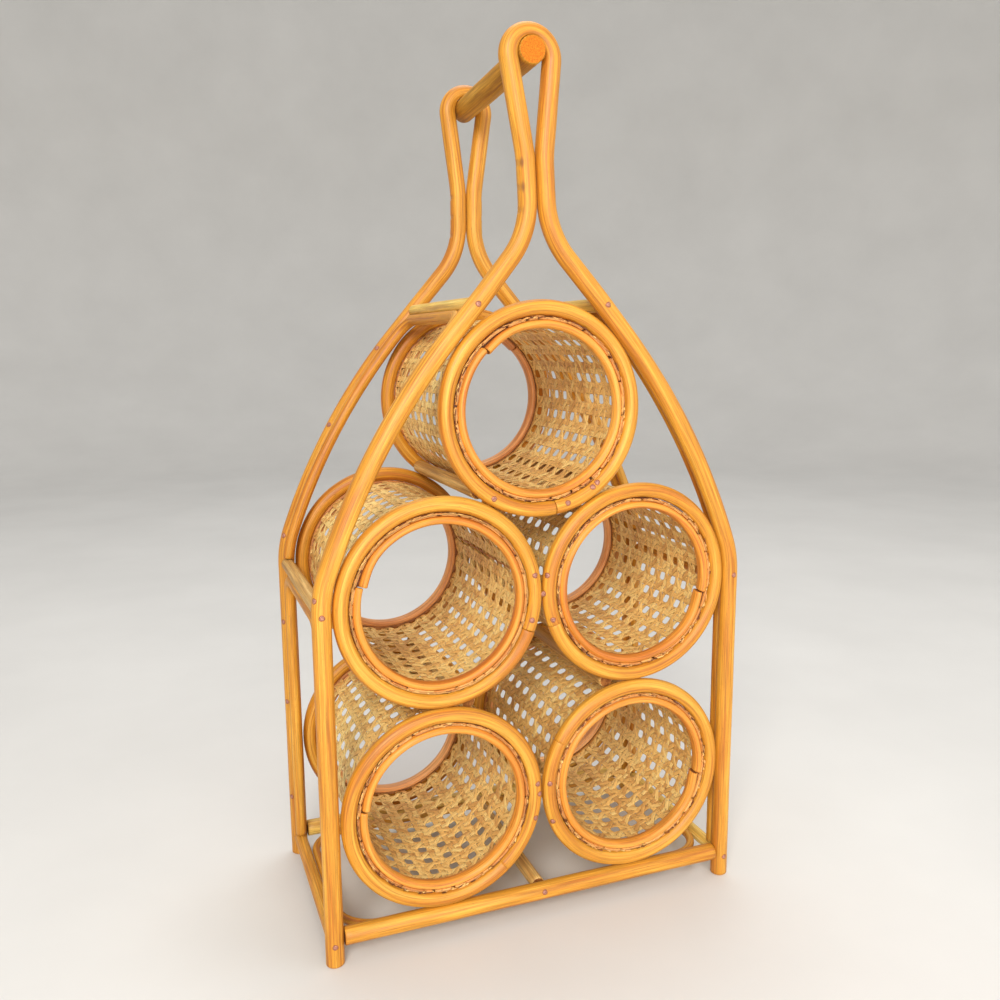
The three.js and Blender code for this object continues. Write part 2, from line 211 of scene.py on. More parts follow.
def cane_material(name, *colours, rough=0.48, contrast=1.0, coat=0.05, specular=0.45):
    """Peeled, lacquered cane: long fibres, paler and redder stretches, short pores."""
    pale, middle, deep = (linear(*colour) for colour in colours)
    shader = Shader(name)
    stretches = shader.noise(scale=0.16, detail=2.0, along=0.06)
    streaks = shader.noise(scale=0.55, detail=4.0, roughness=0.6, along=0.025)
    fibres = shader.noise(scale=1.9, detail=5.0, roughness=0.7, along=0.02)
    lines = shader.noise(scale=1.2, detail=2.0, along=0.012)
    pores = shader.noise(scale=2.4, detail=2.0, along=0.14)
    reach = 0.24 / contrast
    tone = shader.spread(shader.combine(stretches, streaks, "ADD"), 1.0 - reach, 1.0 + reach)
    colour = shader.ramp(tone, [(0.0, deep), (0.45, middle), (0.7, middle), (1.0, pale)])
    colour = shader.shade(colour, shader.spread(fibres, 0.36, 0.64, to_low=0.74, to_high=1.14))
    colour = shader.mix(shader.spread(lines, 0.6, 0.7, to_high=0.5), colour, darker(deep, 0.6))
    colour = shader.mix(shader.spread(pores, 0.66, 0.74, to_high=0.55), colour, darker(deep, 0.45))
    scorch = shader.combine(shader.attribute("scorch", "Fac"), fibres, "MULTIPLY")
    colour = shader.mix(shader.spread(scorch, 0.08, 0.5, to_high=0.85), colour, SCORCHED)
    height = shader.combine(fibres, pores, "SUBTRACT")
    roughness = shader.spread(streaks, 0.3, 0.7, to_low=rough - 0.07, to_high=rough + 0.1)
    bump = shader.bump(height, distance=0.00012, strength=0.5)
    return shader.finish(Base_Color=colour, Roughness=roughness, Coat_Weight=coat, Coat_Roughness=0.3,
                         Specular_IOR_Level=specular, Normal=bump)


def end_grain_material(name, *colours, pore_share=0.6, patch_scale=0.35):
    """A sawn end: close pores, a few darker patches."""
    light, dark = (linear(*colour) for colour in colours)
    shader = Shader(name)
    pores = shader.noise(scale=1.7, detail=4.0)
    patches = shader.noise(scale=patch_scale, detail=2.0)
    colour = shader.ramp(shader.spread(patches, 0.3, 0.7), [(0.0, dark), (1.0, light)])
    colour = shader.mix(shader.spread(pores, 0.48, 0.62, to_high=pore_share), colour, darker(dark, 0.4))
    bump = shader.bump(pores, distance=0.0002, strength=0.6)
    return shader.finish(Base_Color=colour, Roughness=0.75, Specular_IOR_Level=0.2, Normal=bump)


def strand_material(name, *colours):
    """Flat split cane: every strand has its own tone, sides darkened as painted shade between strands, fine
    fibres and dark flecks.
    """
    pale, middle, deep = (linear(*colour) for colour in colours)
    shader = Shader(name)
    fibres = shader.noise(scale=2.2, detail=4.0, roughness=0.7, along=0.05)
    patches = shader.noise(scale=0.5, along=0.35)
    flecks = shader.noise(scale=1.3, detail=2.0, along=0.5)
    tone = shader.combine(shader.attribute("tint", "Fac"), patches, "ADD")
    colour = shader.ramp(shader.spread(tone, 0.1, 1.9), [(0.0, deep), (0.45, middle), (1.0, pale)])
    colour = shader.shade(colour, shader.spread(fibres, 0.3, 0.7, to_low=0.72, to_high=1.12))
    colour = shader.mix(shader.spread(flecks, 0.6, 0.7, to_high=0.75), colour, FLECKED)
    # Painted shade: each strand darkens towards its sides, standing in for the shade in the gaps between
    # strands
    edge = shader.spread(shader.attribute("edge", "Fac"), 0.75, 1.0, to_high=0.6)
    colour = shader.mix(edge, colour, darker(deep, 0.3))
    bump = shader.bump(fibres, distance=0.00015, strength=0.6)
    return shader.finish(Base_Color=colour, Roughness=0.6, Normal=bump)


def nail_material():
    shader = Shader("nail_heads")
    rust = shader.noise(scale=1.4)
    rusty, worn = linear(128, 82, 68), linear(186, 128, 108)
    colour = shader.ramp(shader.spread(rust, 0.35, 0.65), [(0.0, rusty), (1.0, worn)])
    return shader.finish(Base_Color=colour, Roughness=0.45, Metallic=0.15,
                         Normal=shader.bump(rust, distance=0.0001, strength=0.5))


def stain_material():
    shader = Shader("nail_stain")
    patches = shader.noise(scale=1.2)
    dark, light = linear(126, 70, 40), linear(172, 100, 54)
    colour = shader.ramp(shader.spread(patches, 0.3, 0.7), [(0.0, dark), (1.0, light)])
    return shader.finish(Base_Color=colour, Roughness=0.7)


def floor_material():
    shader = Shader("pale_floor")
    patches = shader.noise(scale=5.0, detail=4.0, vector=shader.add("ShaderNodeTexCoord", {}, "Object"))
    colour = shader.ramp(patches, [(0.0, linear(206, 204, 200)), (1.0, linear(222, 220, 216))])
    return shader.finish(Base_Color=colour, Roughness=0.8)


HONEY = cane_material("honey_cane", (222, 164, 62), (206, 140, 40), (184, 110, 28))
RED = cane_material("red_cane", (232, 166, 72), (220, 144, 52), (192, 110, 36))
ROSE = cane_material("rose_cane", (243, 186, 122), (227, 162, 100), (201, 129, 74), rough=0.5)
TAN = cane_material("tan_cane", (218, 180, 112), (198, 152, 80), (164, 116, 56), rough=0.55)
PALE = cane_material("pale_cane", (240, 206, 134), (218, 172, 96), (180, 130, 68), rough=0.55)
OLIVE = cane_material("olive_cane", (244, 212, 122), (232, 190, 90), (200, 150, 66), rough=0.5)
DOWEL = cane_material("dowel_wood", (206, 152, 60), (184, 128, 40), (152, 98, 28), rough=0.65, coat=0.0,
                      specular=0.2)
CANE_END = end_grain_material("cane_end_grain", (168, 108, 52), (128, 74, 34))
DOWEL_END = end_grain_material("dowel_end_grain", (212, 122, 28), (186, 100, 18), pore_share=0.45,
                               patch_scale=1.1)
STRAND = strand_material("webbing_strands", (255, 226, 148), (244, 197, 115), (203, 149, 82))
TORN = strand_material("torn_strands", (250, 196, 116), (232, 160, 82), (176, 104, 50))
# Dark strands that paint the shade in the crack between the outer and the inner ring
CRACK_SHADE = strand_material("crack_shade_strands", (150, 84, 38), (122, 65, 28), (92, 46, 20))
NAIL = nail_material()
STAIN = stain_material()


# Meshes

def add_object(name, data):
    made = bpy.data.objects.new(name, data)
    bpy.context.scene.collection.objects.link(made)
    return made


def make_mesh(name, vertices, faces, materials, material_index=None, flat=None, **attributes):
    """A mesh object in metres from millimetre vertices, smooth except for the flat faces."""
    data = bpy.data.meshes.new(name)
    data.from_pydata((np.asarray(vertices) * MM).tolist(), [], [list(map(int, face)) for face in faces])
    for material in materials:
        data.materials.append(material)
    smooth = np.ones(len(faces), bool)
    if flat is not None:
        smooth[flat] = False
    data.polygons.foreach_set("use_smooth", smooth)
    if material_index is not None:
        data.polygons.foreach_set("material_index", np.asarray(material_index, np.int32))
    for key, values in attributes.items():
        values = np.asarray(values, np.float32)
        kind, field = ("FLOAT_VECTOR", "vector") if values.ndim == 2 else ("FLOAT", "value")
        data.attributes.new(key, kind, "POINT").data.foreach_set(field, values.ravel())
    data.validate()
    return add_object(name, data)


def settle(piece, slot, *nodes):
    """The piece rides on the rack and stands for CAD nodes. The slot is not used."""
    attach(piece, "root")
    if nodes:
        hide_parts(*nodes)


WANDER_PEAK = 1.6


def wander(along, seed, lengths=(97.0, 41.0, 19.0)):
    """A smooth wobble between about -1 and 1."""
    phases = np.random.default_rng(seed).random(len(lengths))
    return sum(np.sin(2 * np.pi * (along / length + phase)) / (1 + order)
               for order, (length, phase) in enumerate(zip(lengths, phases))) / WANDER_PEAK


def unit(vectors):
    return vectors / np.linalg.norm(vectors, axis=-1, keepdims=True)


def distances_along(points):
    return np.concatenate([[0.0], np.cumsum(np.linalg.norm(np.diff(points, axis=0), axis=1))])


def band(grid):
    """The faces between neighbouring rows of a grid of points that closes round."""
    right = np.roll(grid, -1, axis=1)
    return np.stack([grid[:-1], grid[1:], right[1:], right[:-1]], -1).reshape(-1, 4).tolist()


# A cane's radius as shares of half its diameter, and how far one turn of its oval section takes
CANE_FULLNESS = 0.986
CANE_WOBBLE = 0.01
CANE_OVAL = 0.012
OVAL_TURN = 120
SLANT_REACH = 9
END_GRAIN_SHARE = 0.92
GRAIN_SHIFT = 500
ENDS = ((0, 1), (-1, -1))


def cane(node, points, diameter, material, slot, sides, seed, start=DEPTH, reshape=None, stuff="cane",
         end_material=CANE_END, slant=0.0, chamfer=0.45, oval_share=1.0, scorch=None):
    """A cane swept along points, with natural changes in thickness and sawn, softened ends."""
    points = np.array(points, float)
    along = distances_along(points)
    tangents = unit(np.gradient(points, axis=0))
    normals = np.empty_like(points)
    normal = np.array(start, float)
    for index, tangent in enumerate(tangents):
        normal = unit(normal - tangent * (normal @ tangent))
        normals[index] = normal
    binormals = np.cross(tangents, normals)
    for end, way in ENDS:
        points[end] += way * tangents[end] * chamfer

    angle = 2 * np.pi * np.arange(sides) / sides
    oval = CANE_OVAL * np.sin(2 * angle[None, :] + seed + along[:, None] / OVAL_TURN)
    radius = diameter / 2 * (CANE_FULLNESS + CANE_WOBBLE * wander(along, seed)[:, None] + oval)
    ring = (oval_share * np.cos(angle)[None, :, None] * normals[:, None, :]
            + np.sin(angle)[None, :, None] * binormals[:, None, :])
    body = points[:, None, :] + radius[:, :, None] * ring
    rims = np.stack([body[end] - way * tangents[end] * chamfer - ring[end] * chamfer for end, way in ENDS])
    skew = slant * (ring[0] @ normals[0]) * diameter / 2
    fade = sum(np.clip(1 - left / SLANT_REACH, 0, 1) for left in (along, along[-1] - along))
    body += (skew[None, :] * fade[:, None])[:, :, None] * tangents[:, None, :]
    rims += skew[None, :, None] * tangents[[0, -1], None, :]
    vertices = np.concatenate([body.reshape(-1, 3), rims.reshape(-1, 3), [rim.mean(0) for rim in rims]])
    if reshape is not None:
        vertices = reshape(vertices)

    grid = np.arange(radius.size).reshape(-1, sides)
    right = np.roll(grid, -1, axis=1)
    faces = [*np.stack([grid[:-1], right[:-1], right[1:], grid[1:]], -1).reshape(-1, 4)]
    first, last = (radius.size + place * sides + np.arange(sides) for place in (0, 1))
    after_first, after_last = np.roll(first, -1), np.roll(last, -1)
    faces += [*np.stack([first, after_first, right[0], grid[0]], -1)]
    faces += [*np.stack([grid[-1], right[-1], after_last, last], -1)]
    body_faces = len(faces)
    faces += [(last[-1] + 1, b, a) for a, b in zip(first, after_first)]
    faces += [(last[-1] + 2, a, b) for a, b in zip(last, after_last)]
    index = np.arange(len(faces)) >= body_faces

    travel = np.broadcast_to(along[:, None] + GRAIN_SHIFT * seed, radius.shape)
    grain = np.stack([radius * np.cos(angle), radius * np.sin(angle), travel], -1)
    end_grain = grain[[0, -1]] * [END_GRAIN_SHARE, END_GRAIN_SHARE, 1]
    grain = np.concatenate([grain.reshape(-1, 3), end_grain.reshape(-1, 3), end_grain[:, 0] * [0, 0, 1]])
    burnt = {} if scorch is None else {"scorch": scorch(vertices)}
    piece = make_mesh(f"{node}_{stuff}", vertices, faces, [material, end_material], index, index, grain=grain,
                      **burnt)
    settle(piece, slot, node)


STRAIGHT_STEP = 4


def straight(node, first, last, diameter, material, slot, seed, sides=26, **more):
    steps = int(np.linalg.norm(np.subtract(last, first)) / STRAIGHT_STEP)
    share = np.linspace(0, 1, steps + 1)[:, None]
    points = (1 - share) * np.array(first, float) + share * np.array(last, float)
    cane(node, points, diameter, material, slot, sides, seed, UP, **more)


# Frames and handle

HALVINGS = 40


class Walk:
    """The right-hand half of a frame's centre line, as runs and bends."""

    def __init__(self, x, z):
        self.legs = []
        self.length = 0.0
        self.end = (x, z, 0.0)

    def go(self, length, curvature=0.0):
        self.legs.append((self.length, curvature, self.end))
        self.length += length
        self.end = self.at(self.length)

    def at(self, distance):
        start, curvature, (x, z, heading) = next(
            leg for leg in reversed(self.legs) if leg[0] <= distance or leg is self.legs[0])
        run = distance - start
        if not curvature:
            return x - run * math.sin(heading), z + run * math.cos(heading), heading
        turned = heading + curvature * run
        return (x - (math.cos(heading) - math.cos(turned)) / curvature,
                z + (math.sin(turned) - math.sin(heading)) / curvature, turned)

    def distance_at_height(self, height):
        low, high = 0.0, self.length
        for _ in range(HALVINGS):
            middle = (low + high) / 2
            low, high = (middle, high) if self.at(middle)[1] < height else (low, middle)
        return low


def walk_frame():
    walk = Walk(POLE_OFFSET, 0.0)
    walk.go(MIDDLE_HEIGHT)
    walk.go(CLEAR_RADIUS * SHOULDER_ANGLE, 1 / CLEAR_RADIUS)
    x, z, _ = walk.end
    reach = x * math.cos(RAFTER_ANGLE) + (z - TOP_HEIGHT) * math.sin(RAFTER_ANGLE)
    turn = RAFTER_ANGLE - SHOULDER_ANGLE
    arch = (CLEAR_RADIUS - reach) / (1 - math.cos(turn))
    walk.go(arch * turn, 1 / arch)
    neck_offset = FRAME_RADIUS + SEAT_GAP / 2
    neck_inset = NECK_BEND * (1 - math.cos(RAFTER_ANGLE))
    walk.go((walk.end[0] - neck_offset - neck_inset) / math.sin(RAFTER_ANGLE))
    walk.go(NECK_BEND * RAFTER_ANGLE, -1 / NECK_BEND)
    walk.go(PINCH_LENGTH)
    neck_end = walk.length
    centres = math.hypot(neck_offset + FLARE_BEND, LOOP_RISE)
    flare = math.asin((FLARE_BEND + LOOP_BEND) / centres) - math.atan2(neck_offset + FLARE_BEND, LOOP_RISE)
    loop_height = walk.end[1] + LOOP_RISE
    walk.go(FLARE_BEND * flare, -1 / FLARE_BEND)
    walk.go(math.sqrt(centres ** 2 - (FLARE_BEND + LOOP_BEND) ** 2))
    walk.go(LOOP_BEND * (flare + math.pi / 2), 1 / LOOP_BEND)
    return walk, neck_end, loop_height


WALK, NECK_END, LOOP_HEIGHT = walk_frame()
LEAN_FROM = TOP_HEIGHT + RING_OUTER_RADIUS
DOWEL_HEIGHT = LOOP_HEIGHT + DOWEL_RISE
DOWEL_ENDS = np.array([[FRONT_LEAN, -HALF, DOWEL_HEIGHT], [BACK_LEAN, HALF, DOWEL_HEIGHT]])
DOWEL_AXIS = unit(DOWEL_ENDS[1] - DOWEL_ENDS[0])


def frame_point(distance, side, lean, y):
    x, z, _ = WALK.at(distance)
    shift = lean * max(0.0, z - LEAN_FROM) / (DOWEL_HEIGHT - LEAN_FROM)
    return np.array([side * x + shift, y, z])


# How dark each kerf is burnt: right and left of the highest pair, then of the next ones down
SCORCH_SHARES = (0.4, 1.0, 0.5, 1.0, 0.3, 0.55)
SCORCH_LENGTH = 3.2
SCORCH_WIDTH = 1.5
SHORT_STEP = 0.5
DOWEL_SEAT = DOWEL_DIAMETER / 2 + 0.12
KERF_MARGIN = 6


def kerf_places(lean, y):
    """The middle of the cane, its direction and its outward side at each kerf."""
    for index in range(KERF_COUNT):
        for side in (1, -1):
            distance = NECK_END - index * KERF_SPACING
            here = frame_point(distance, side, lean, y)
            before, after = (frame_point(distance + step, side, lean, y)
                             for step in (-SHORT_STEP, SHORT_STEP))
            ahead = unit(after - before)
            yield here, ahead, side * np.array([ahead[2], 0, -ahead[0]])


def kerf_scorch(lean, y, vertices):
    """Brown marks beside the kerfs, on the face that looks away from the rack."""
    burnt = np.zeros(len(vertices))
    for (here, ahead, outward), share in zip(kerf_places(lean, y), SCORCH_SHARES):
        facing = unit(outward + math.copysign(1, y) * DEPTH)
        offset = vertices - here - FRAME_RADIUS * facing
        along = offset @ ahead
        apart = np.linalg.norm(offset - np.outer(along, ahead), axis=1)
        mark = share * np.exp(-(along / SCORCH_LENGTH) ** 2 - (apart / SCORCH_WIDTH) ** 2)
        burnt = np.maximum(burnt, mark)
    return burnt


def push_out(vertices, offset, reach):
    """Moves the vertices that lie less than reach from an axis out to reach."""
    distance = np.linalg.norm(offset, axis=1, keepdims=True)
    inside = (distance < reach)[:, 0]
    vertices[inside] += (offset / distance * (reach - distance))[inside]


def reshape_frame(lean, y, vertices):
    """Kerf scallops on the neck, and a seat pressed into the loop by the dowel."""
    for here, _, outward in kerf_places(lean, y):
        cutter = here + outward * (FRAME_RADIUS + KERF_RADIUS - KERF_DEPTH)
        push_out(vertices, (vertices - cutter) * [1, 0, 1], KERF_RADIUS)
    offset = vertices - DOWEL_ENDS[0]
    push_out(vertices, offset - (offset @ DOWEL_AXIS)[:, None] * DOWEL_AXIS, DOWEL_SEAT)
    return vertices


# Where the sections lie on half a frame, closer together along the kerfs
kerfs = (NECK_END - (KERF_COUNT - 1) * KERF_SPACING - KERF_MARGIN, NECK_END + KERF_MARGIN)
climb = np.concatenate([np.linspace(0, kerfs[0], num=220, endpoint=False),
                        np.linspace(*kerfs, num=62, endpoint=False),
                        np.linspace(kerfs[1], WALK.length, num=70)])
for node, y, lean, seed in (("front_frame", -HALF, FRONT_LEAN, 3), ("back_frame", HALF, BACK_LEAN, 8)):
    path = [frame_point(s, 1, lean, y) for s in climb] + [frame_point(s, -1, lean, y) for s in climb[-2::-1]]
    cane(node, path, FRAME_CANE, HONEY, "honey_cane", sides=32, seed=seed,
         reshape=partial(reshape_frame, lean, y), chamfer=0.7, scorch=partial(kerf_scorch, lean, y))

dowel_reach = DOWEL_AXIS * FRAME_RADIUS
straight("handle_dowel", DOWEL_ENDS[0] - dowel_reach, DOWEL_ENDS[1] + dowel_reach, DOWEL_DIAMETER, DOWEL,
         "dowel_wood", seed=12, sides=40, stuff="wood", end_material=DOWEL_END, chamfer=0.5)


# Base, spacers, braces, battens

def from_front_to_back(node, x, z, reach, *look, **more):
    straight(node, (x, -reach, z), (x, reach, z), *look, **more)


rail_reach = POLE_OFFSET - FRAME_RADIUS - SEAT_GAP
for y, node, look, seed in ((-HALF, "front_bottom_rail", HONEY, 21), (HALF, "back_bottom_rail", OLIVE, 22)):
    straight(node, (-rail_reach, y, RAIL_HEIGHT), (rail_reach, y, RAIL_HEIGHT), RAIL_CANE, look, "honey_cane",
             seed)
for side, node, look in ((-1, "left_bottom_rail", HONEY), (1, "right_bottom_rail", OLIVE)):
    from_front_to_back(node, side * POLE_OFFSET, SIDE_RAIL_HEIGHT, INNER_SPAN / 2, SIDE_RAIL_CANE, look,
                       "honey_cane", seed=24 + side)

cross_reach = HALF - RAIL_CANE / 2 - SEAT_GAP
HOOP_X = POLE_OFFSET - SIDE_RAIL_CANE / 2 - SEAT_GAP - HOOP_CANE / 2
HOOP_Y = HALF - RAIL_CANE / 2 - SEAT_GAP - HOOP_CANE / 2
LAP_TOP = HOOP_HEIGHT + HOOP_CANE / 2 + SEAT_GAP
LAP_START = HOOP_Y - HOOP_CANE / 2 - SEAT_GAP


def lap(vertices):
    """The ends of the cross rail are cut away underneath to pass over the hoop."""
    low = (np.abs(vertices[:, 1]) > LAP_START) & (vertices[:, 2] < LAP_TOP)
    vertices[low, 2] = LAP_TOP
    return vertices


from_front_to_back("centre_cross_rail", 0, CROSS_RAIL_HEIGHT, cross_reach, CROSS_RAIL_CANE, PALE, "pale_cane",
                   seed=27, reshape=lap)

HOOP_CORNER_STEPS = 16


def hoop_path():
    """Once round inside the rails, from the joint in the back side."""
    joint = POLE_OFFSET / 2
    path = [(joint - SEAT_GAP, HOOP_Y, HOOP_HEIGHT)]
    for corner, side_x, side_y in ((1, -1, 1), (2, -1, -1), (3, 1, -1), (0, 1, 1)):
        x, y = side_x * (HOOP_X - HOOP_CORNER_BEND), side_y * (HOOP_Y - HOOP_CORNER_BEND)
        for step in range(HOOP_CORNER_STEPS + 1):
            angle = math.pi / 2 * (corner + step / HOOP_CORNER_STEPS)
            path.append((x + HOOP_CORNER_BEND * math.cos(angle), y + HOOP_CORNER_BEND * math.sin(angle),
                         HOOP_HEIGHT))
    return resample([*path, (joint, HOOP_Y, HOOP_HEIGHT)], spacing=3.0)


def resample(corners, spacing):
    """The same path with points at about equal spacing."""
    corners = np.array(corners, float)
    along = distances_along(corners)
    wanted = np.linspace(0, along[-1], int(along[-1] / spacing) + 1)
    return np.stack([np.interp(wanted, along, corners[:, axis]) for axis in range(3)], axis=1)


cane("base_hoop", hoop_path(), HOOP_CANE, HONEY, "honey_cane", sides=20, seed=31, start=UP)

UPPER_AT = WALK.distance_at_height(UPPER_SPACER_HEIGHT)
MID_AT = WALK.distance_at_height(MID_SPACER_HEIGHT)
LEG_OFFSET = HALF - FRAME_RADIUS - SEAT_GAP - BRACE_CANE / 2
LEG_STEPS = 50
BRACE_CORNER_STEPS = 13


def brace_path(leg_at, bar_at, side):
    """An upside-down U whose legs follow the frames and whose bar lies under a spacer."""
    leg_top = bar_at - BRACE_CORNER_BEND
    leg = [(s, -LEG_OFFSET) for s in np.linspace(leg_at, leg_top, LEG_STEPS)]
    for angle in np.linspace(0, math.pi / 2, BRACE_CORNER_STEPS + 1)[1:]:
        leg.append((leg_top + BRACE_CORNER_BEND * math.sin(angle),
                    -LEG_OFFSET + BRACE_CORNER_BEND * (1 - math.cos(angle))))
    half = [(side * WALK.at(s)[0], y, WALK.at(s)[1]) for s, y in leg]
    return resample(half + [(x, -y, z) for x, y, z in reversed(half)], spacing=2.6)


SPACERS = (("upper", UPPER_AT, UPPER_SPACER_CANE, OLIVE, "pale_cane", 41),
           ("mid", MID_AT, MID_SPACER_CANE, TAN, "honey_cane", 44))
BRACES = (("upper", MID_AT + MID_SPACER_CANE / 2, UPPER_AT - UPPER_SPACER_CANE / 2, 47),
          ("lower", SIDE_RAIL_HEIGHT + SIDE_RAIL_CANE / 2, MID_AT - MID_SPACER_CANE / 2, 50))
for side, name in ((-1, "left"), (1, "right")):
    for place, distance, diameter, look, slot, seed in SPACERS:
        x, z, _ = WALK.at(distance)
        from_front_to_back(f"{name}_{place}_spacer", side * x, z, INNER_SPAN / 2, diameter, look, slot,
                           seed + side)
    for place, stands_on, hangs_under, seed in BRACES:
        path = brace_path(stands_on + SEAT_GAP, hangs_under - SEAT_GAP - BRACE_CANE / 2, side)
        cane(f"{name}_{place}_brace", path, BRACE_CANE, HONEY, "honey_cane", sides=24, seed=seed + side)


def batten(node, carrier, neighbour, offset, lift, seed):
    """A cane in the valley between two tubes, from a front outer ring to the back one."""
    axis, origin = (np.array([x, 0, z], float) for x, z in (TUBES[carrier], TUBES[neighbour]))
    towards = unit(axis - origin)
    across = np.array([towards[2], 0, -towards[0]])
    place = origin + towards * (TUBE_PITCH / 2 + lift) + across * offset
    past = max(0.0, np.linalg.norm(place - axis) - BATTEN_CANE / 2 - OUTER_RING_PATH)
    reach = HALF - math.sqrt(max(0.0, (OUTER_RING_CANE / 2) ** 2 - past ** 2)) - SEAT_GAP
    from_front_to_back(node, place[0], place[2], reach, BATTEN_CANE, PALE, "pale_cane", seed)


batten("upper_left_batten", "top", "middle_left", -UPPER_BATTEN_OFFSET, UPPER_BATTEN_LIFT, 61)
batten("upper_right_batten", "top", "middle_right", UPPER_BATTEN_OFFSET, UPPER_BATTEN_LIFT, 62)
batten("lower_left_batten", "middle_left", "bottom_left", LOWER_BATTEN_OFFSET, 0, 63)
batten("lower_right_batten", "middle_right", "bottom_right", -LOWER_BATTEN_OFFSET, 0, 64)


# Rings

# The angle of each outer ring's joint in front, and half the gap there
OUTER_JOINTS = {
    "top": (-82, 0.14), "middle_left": (-22, 0.1), "middle_right": (200, 0.02), "bottom_left": (-50, 0.03),
    "bottom_right": (150, 0.02),
}
BACK_OUTER_TURN = 60
OUTER_CHAMFER_SHARE = 3.2
OUTER_JOINT_STEPS = (0.0, 0.04)
INNER_JOINT_GAP = 0.3
INNER_JOINT_CHAMFER = 0.45
JOINT_REACH = 13
INNER_OVAL_SHARE = 1.6
INNER_OVAL_BACK = INNER_RING_CANE / 2 * (INNER_OVAL_SHARE - 1)
INNER_SLANT = 0.12
# The angle of each inner ring's joint in front and behind, and how far its two ends in front move
# outwards and inwards there
INNER_JOINTS = {
    "top": (135, 45, (0.25, 1.5)),
    "middle_left": (163, 223, (0.25, 1.8)),
    "middle_right": (-12, 48, (0.2, 1.7)),
    "bottom_left": (172, 232, (0.2, 0.8)),
    "bottom_right": (-9, 51, (0.2, 1.7)),
}
BACK_INNER_STEPS = (-0.8, 0.0)
RING_STEPS = 250
RING_WOBBLE = 0.1
RING_WOBBLE_LENGTHS = (170.0, 90.0, 60.0)


def inner_joint(tube, side):
    """The angle of an inner ring's joint, and how far its two ends move outwards and inwards."""
    front, back, steps = INNER_JOINTS[tube]
    return (front, steps) if side < 0 else (back, BACK_INNER_STEPS)


def near_joint(distance):
    """A share that falls from 1 at a joint to 0 a little way off."""
    return np.exp(-(distance / JOINT_REACH) ** 2)


def ring(node, tube, y, radius, joint, joint_gap, steps, seed, *look, **more):
    """One cane bent round until its ends meet."""
    x, z = TUBES[tube]
    gap = joint_gap / radius
    angle = math.radians(joint) + np.linspace(gap, 2 * math.pi - gap, RING_STEPS)
    travelled = (angle - angle[0]) * radius
    left = travelled[-1] - travelled
    outward, inward = steps
    offset = outward * near_joint(travelled) - inward * near_joint(left)
    reach = radius + RING_WOBBLE * wander(travelled, seed, RING_WOBBLE_LENGTHS) + offset
    points = np.stack([x + reach * np.cos(angle), np.full_like(angle, y), z + reach * np.sin(angle)], axis=1)
    cane(node, points, *look, seed=seed, **more)


for number, tube in enumerate(TUBES):
    for end, side in (("front", -1), ("back", 1)):
        seed = 100 + 10 * number + side
        angle, gap = OUTER_JOINTS[tube]
        turn = 0 if side < 0 else BACK_OUTER_TURN
        ring(f"{tube}_{end}_outer_ring", tube, side * HALF, OUTER_RING_PATH, angle + turn, gap,
             OUTER_JOINT_STEPS, seed, OUTER_RING_CANE, HONEY, "honey_cane", sides=26,
             chamfer=gap * OUTER_CHAMFER_SHARE)
        angle, steps = inner_joint(tube, side)
        ring(f"{tube}_{end}_inner_ring", tube, side * (HALF + INNER_RING_FORWARD - INNER_OVAL_BACK),
             INNER_RING_PATH, angle, INNER_JOINT_GAP, steps, seed + 5, INNER_RING_CANE,
             RED if side < 0 else ROSE, "red_cane", sides=24, slant=INNER_SLANT, chamfer=INNER_JOINT_CHAMFER,
             oval_share=INNER_OVAL_SHARE)


# Woven webbing

ROW_PITCH = 13.1
PAIR_OFFSET = 2.05
STRAND_WIDTH = 3.7
DIAGONAL_WIDTH = 3.3
STRAND_THICKNESS = 0.38
LAP_ANGLE = 17
LAP_LIFT = 1.1
LAP_EASE = 50
LAP_CURL = 0.9
CURL_ANGLE = 5
CURL_MOST = 1.3
# The rings squeeze the lap flat towards both ends, and the inner rings' edges draw the webbing in
SQUEEZE_SHARE = 0.6
SQUEEZE_PLACE = 13
SQUEEZE_EASE = 6
RING_DRAW = 1.0
RING_DRAW_PLACE = HALF - 5.2
RING_DRAW_REACH = 2.3
# How far past the sheet's edge a strand ends, at the rings and along the lap
TRIM = (-1.3, 0.1)
FRAY = (-2.2, 1.2)
# A strand's points at a pair that crosses it: one strand, between, the other, past both
CROSSINGS = np.array([-1, 0, 1, 1.6])
ROW_OVERRUN = 3
COLUMN_SHIFT = 0.07
DIAGONAL_STEPS = 8
# A strand's path is divided this finely to be cut off, and then thinned out
FINE_STEPS = 6
THINNED = 3
FEWEST_POINTS = 6
# The points along a short piece of webbing, as shares of half its length
SHARE = np.linspace(-1, 1, 9)
GRAIN_SPREAD = 4000
GRAIN_FLATNESS = 0.2
SECTION = np.array([(-0.5, 0.0), (-0.36, 0.5), (0.36, 0.5), (0.5, 0.0), (0.36, -0.5), (-0.36, -0.5)])
# Where each rolled sheet starts, the angle from hole to hole, the angle of one hole and the depth of one
SHEETS = {
    "top": (84, 14.6, 3.2, 2.4),
    "middle_left": (11, 13.9, -1.3, -4.6),
    "middle_right": (76, 14.4, 0.0, 0.0),
    "bottom_left": (97, 14.1, 7.2, -5.1),
    "bottom_right": (70, 14.5, -1.1, -1.3),
}


